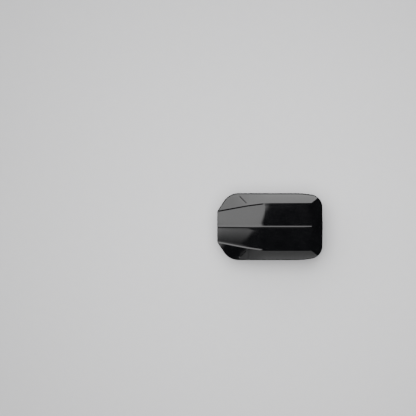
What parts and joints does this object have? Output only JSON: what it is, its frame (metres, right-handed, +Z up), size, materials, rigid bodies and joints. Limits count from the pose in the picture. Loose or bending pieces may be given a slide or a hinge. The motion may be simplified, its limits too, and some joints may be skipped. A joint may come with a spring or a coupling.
{
  "type": "roof cargo box",
  "caption": "Faceted hard-shell roof cargo box with a gloss lid that opens to one side on gas struts, a turning key lock, luggage straps and screw-down claws for crossbars.",
  "frame": {"origin": "under the centre of the box, level with the tips of the bar claws", "axes": "+X to the tail and -X to the pointed nose, +Y to the side that opens, +Z up"},
  "size_m": [1.3296, 0.845, 0.402],
  "materials": {
    "lid_gloss": "gloss black thermoformed plastic",
    "base_abs": "fine grained black thermoformed plastic",
    "rail_steel": "zinc plated flat steel",
    "hinge_steel": "zinc plated pressed steel",
    "pin_steel": "polished steel",
    "fastener": "plated screw and rivet heads",
    "bracket_black": "black powder coat",
    "nylon_grey": "moulded nylon",
    "nylon_black": "moulded nylon",
    "key_brass": "nickel brass key plug",
    "cam_steel": "plated steel",
    "claw_coat": "black dipped steel claw",
    "pad_rubber": "ribbed rubber",
    "strut_body": "satin black tube",
    "strut_rod": "ground rod",
    "webbing": "woven polyester webbing"
  },
  "bodies": {
    "base": {"base_shell": "base_abs", "floor_rail_left": "rail_steel", "floor_rail_right": "rail_steel", "floor_rail_screws": "fastener", "hinge_base_leaves": "hinge_steel", "hinge_pins": "pin_steel", "lock_rail_guides": "nylon_grey", "lock_housing": "nylon_black", "clamp_housings": "nylon_grey", "clamp_pivot_pins": "pin_steel", "bar_pads": "pad_rubber", "strut_base_brackets": "bracket_black", "luggage_strap_front": "webbing", "luggage_strap_rear": "webbing", "strap_anchors": "nylon_grey", "strap_buckles": "nylon_grey"},
    "lid": {"lid_shell": "lid_gloss", "hinge_lid_leaves": "hinge_steel", "hinge_rivets": "fastener", "lid_rail_left": "rail_steel", "lid_rail_right": "rail_steel", "latch_strikers": "hinge_steel", "strut_lid_brackets": "bracket_black"},
    "strut_front_cylinder": {"strut_front_cylinder": "strut_body"},
    "strut_front_rod": {"strut_front_rod": "strut_rod"},
    "strut_rear_cylinder": {"strut_rear_cylinder": "strut_body"},
    "strut_rear_rod": {"strut_rear_rod": "strut_rod"},
    "lock_turn": {"lock_knob": "nylon_black", "lock_cam": "cam_steel"},
    "lock_key": {"key_plug": "key_brass"},
    "lock_slider": {"lock_rail": "rail_steel"},
    "clamp_front_left_turn": {"clamp_front_left_knob": "nylon_black", "clamp_front_left_spindle": "cam_steel"},
    "clamp_front_left_traveller": {"clamp_front_left_traveller": "nylon_black"},
    "clamp_front_left_claw_front": {"clamp_front_left_claw_front": "claw_coat"},
    "clamp_front_left_claw_rear": {"clamp_front_left_claw_rear": "claw_coat"},
    "clamp_front_right_turn": {"clamp_front_right_knob": "nylon_black", "clamp_front_right_spindle": "cam_steel"},
    "clamp_front_right_traveller": {"clamp_front_right_traveller": "nylon_black"},
    "clamp_front_right_claw_front": {"clamp_front_right_claw_front": "claw_coat"},
    "clamp_front_right_claw_rear": {"clamp_front_right_claw_rear": "claw_coat"},
    "clamp_rear_left_turn": {"clamp_rear_left_knob": "nylon_black", "clamp_rear_left_spindle": "cam_steel"},
    "clamp_rear_left_traveller": {"clamp_rear_left_traveller": "nylon_black"},
    "clamp_rear_left_claw_front": {"clamp_rear_left_claw_front": "claw_coat"},
    "clamp_rear_left_claw_rear": {"clamp_rear_left_claw_rear": "claw_coat"},
    "clamp_rear_right_turn": {"clamp_rear_right_knob": "nylon_black", "clamp_rear_right_spindle": "cam_steel"},
    "clamp_rear_right_traveller": {"clamp_rear_right_traveller": "nylon_black"},
    "clamp_rear_right_claw_front": {"clamp_rear_right_claw_front": "claw_coat"},
    "clamp_rear_right_claw_rear": {"clamp_rear_right_claw_rear": "claw_coat"}
  },
  "joints": [
    {"name": "lid_hinge", "type": "hinge", "parent": "base", "child": "lid", "pos_m": [0, -0.4135, 0.147], "axis": [1, 0, 0], "range_deg": [0, 50]},
    {"name": "strut_front_swing", "type": "hinge", "parent": "base", "child": "strut_front_cylinder", "pos_m": [-0.15, -0.352, 0.112], "axis": [1, 0, 0], "range_deg": [0, 40]},
    {"name": "strut_front_extend", "type": "slide", "parent": "strut_front_cylinder", "child": "strut_front_rod", "axis": [0, 0.1093, 0.994], "range_m": [0, 0.045]},
    {"name": "strut_rear_swing", "type": "hinge", "parent": "base", "child": "strut_rear_cylinder", "pos_m": [0.195, -0.352, 0.112], "axis": [1, 0, 0], "range_deg": [0, 40]},
    {"name": "strut_rear_extend", "type": "slide", "parent": "strut_rear_cylinder", "child": "strut_rear_rod", "axis": [0, 0.1093, 0.994], "range_m": [0, 0.045]},
    {"name": "lock_turn", "type": "hinge", "parent": "base", "child": "lock_turn", "pos_m": [0.13, 0.41, 0.112], "axis": [0, -1, 0], "range_deg": [0, 90]},
    {"name": "key_turn", "type": "hinge", "parent": "lock_turn", "child": "lock_key", "pos_m": [0.13, 0.41, 0.112], "axis": [0, -1, 0], "range_deg": [0, 90]},
    {"name": "lock_slide", "type": "slide", "parent": "base", "child": "lock_slider", "axis": [-1, 0, 0], "range_m": [0, 0.018]},
    {"name": "clamp_front_left_turn", "type": "hinge", "parent": "base", "child": "clamp_front_left_turn", "pos_m": [-0.36, -0.23, 0.12], "axis": [0, 0, 1], "range_deg": [0, 1080]},
    {"name": "clamp_front_left_rise", "type": "slide", "parent": "base", "child": "clamp_front_left_traveller", "axis": [0, 0, -1], "range_m": [0, 0.018]},
    {"name": "clamp_front_left_claw_front_swing", "type": "hinge", "parent": "base", "child": "clamp_front_left_claw_front", "pos_m": [-0.416, -0.23, 0.09], "axis": [0, 1, 0], "range_deg": [0, 25]},
    {"name": "clamp_front_left_claw_rear_swing", "type": "hinge", "parent": "base", "child": "clamp_front_left_claw_rear", "pos_m": [-0.304, -0.23, 0.09], "axis": [0, -1, 0], "range_deg": [0, 25]},
    {"name": "clamp_front_right_turn", "type": "hinge", "parent": "base", "child": "clamp_front_right_turn", "pos_m": [-0.36, 0.23, 0.12], "axis": [0, 0, 1], "range_deg": [0, 1080]},
    {"name": "clamp_front_right_rise", "type": "slide", "parent": "base", "child": "clamp_front_right_traveller", "axis": [0, 0, -1], "range_m": [0, 0.018]},
    {"name": "clamp_front_right_claw_front_swing", "type": "hinge", "parent": "base", "child": "clamp_front_right_claw_front", "pos_m": [-0.416, 0.23, 0.09], "axis": [0, 1, 0], "range_deg": [0, 25]},
    {"name": "clamp_front_right_claw_rear_swing", "type": "hinge", "parent": "base", "child": "clamp_front_right_claw_rear", "pos_m": [-0.304, 0.23, 0.09], "axis": [0, -1, 0], "range_deg": [0, 25]},
    {"name": "clamp_rear_left_turn", "type": "hinge", "parent": "base", "child": "clamp_rear_left_turn", "pos_m": [0.39, -0.23, 0.12], "axis": [0, 0, 1], "range_deg": [0, 1080]},
    {"name": "clamp_rear_left_rise", "type": "slide", "parent": "base", "child": "clamp_rear_left_traveller", "axis": [0, 0, -1], "range_m": [0, 0.018]},
    {"name": "clamp_rear_left_claw_front_swing", "type": "hinge", "parent": "base", "child": "clamp_rear_left_claw_front", "pos_m": [0.334, -0.23, 0.09], "axis": [0, 1, 0], "range_deg": [0, 25]},
    {"name": "clamp_rear_left_claw_rear_swing", "type": "hinge", "parent": "base", "child": "clamp_rear_left_claw_rear", "pos_m": [0.446, -0.23, 0.09], "axis": [0, -1, 0], "range_deg": [0, 25]},
    {"name": "clamp_rear_right_turn", "type": "hinge", "parent": "base", "child": "clamp_rear_right_turn", "pos_m": [0.39, 0.23, 0.12], "axis": [0, 0, 1], "range_deg": [0, 1080]},
    {"name": "clamp_rear_right_rise", "type": "slide", "parent": "base", "child": "clamp_rear_right_traveller", "axis": [0, 0, -1], "range_m": [0, 0.018]},
    {"name": "clamp_rear_right_claw_front_swing", "type": "hinge", "parent": "base", "child": "clamp_rear_right_claw_front", "pos_m": [0.334, 0.23, 0.09], "axis": [0, 1, 0], "range_deg": [0, 25]},
    {"name": "clamp_rear_right_claw_rear_swing", "type": "hinge", "parent": "base", "child": "clamp_rear_right_claw_rear", "pos_m": [0.446, 0.23, 0.09], "axis": [0, -1, 0], "range_deg": [0, 25]}
  ],
  "couplings": [
    {"joint": "strut_front_swing", "follows": "lid_hinge", "ratio": 0.78978},
    {"joint": "strut_front_extend", "follows": "lid_hinge", "m_per_rad": 0.050245},
    {"joint": "strut_rear_swing", "follows": "lid_hinge", "ratio": 0.78978},
    {"joint": "strut_rear_extend", "follows": "lid_hinge", "m_per_rad": 0.050245},
    {"joint": "lock_slide", "follows": "lock_turn", "m_per_rad": 0.011459},
    {"joint": "clamp_front_left_rise", "follows": "clamp_front_left_turn", "m_per_rad": 0.000954},
    {"joint": "clamp_front_left_claw_front_swing", "follows": "clamp_front_left_turn", "ratio": 0.02314},
    {"joint": "clamp_front_left_claw_rear_swing", "follows": "clamp_front_left_turn", "ratio": 0.02314},
    {"joint": "clamp_front_right_rise", "follows": "clamp_front_right_turn", "m_per_rad": 0.000954},
    {"joint": "clamp_front_right_claw_front_swing", "follows": "clamp_front_right_turn", "ratio": 0.02314},
    {"joint": "clamp_front_right_claw_rear_swing", "follows": "clamp_front_right_turn", "ratio": 0.02314},
    {"joint": "clamp_rear_left_rise", "follows": "clamp_rear_left_turn", "m_per_rad": 0.000954},
    {"joint": "clamp_rear_left_claw_front_swing", "follows": "clamp_rear_left_turn", "ratio": 0.02314},
    {"joint": "clamp_rear_left_claw_rear_swing", "follows": "clamp_rear_left_turn", "ratio": 0.02314},
    {"joint": "clamp_rear_right_rise", "follows": "clamp_rear_right_turn", "m_per_rad": 0.000954},
    {"joint": "clamp_rear_right_claw_front_swing", "follows": "clamp_rear_right_turn", "ratio": 0.02314},
    {"joint": "clamp_rear_right_claw_rear_swing", "follows": "clamp_rear_right_turn", "ratio": 0.02314}
  ]
}
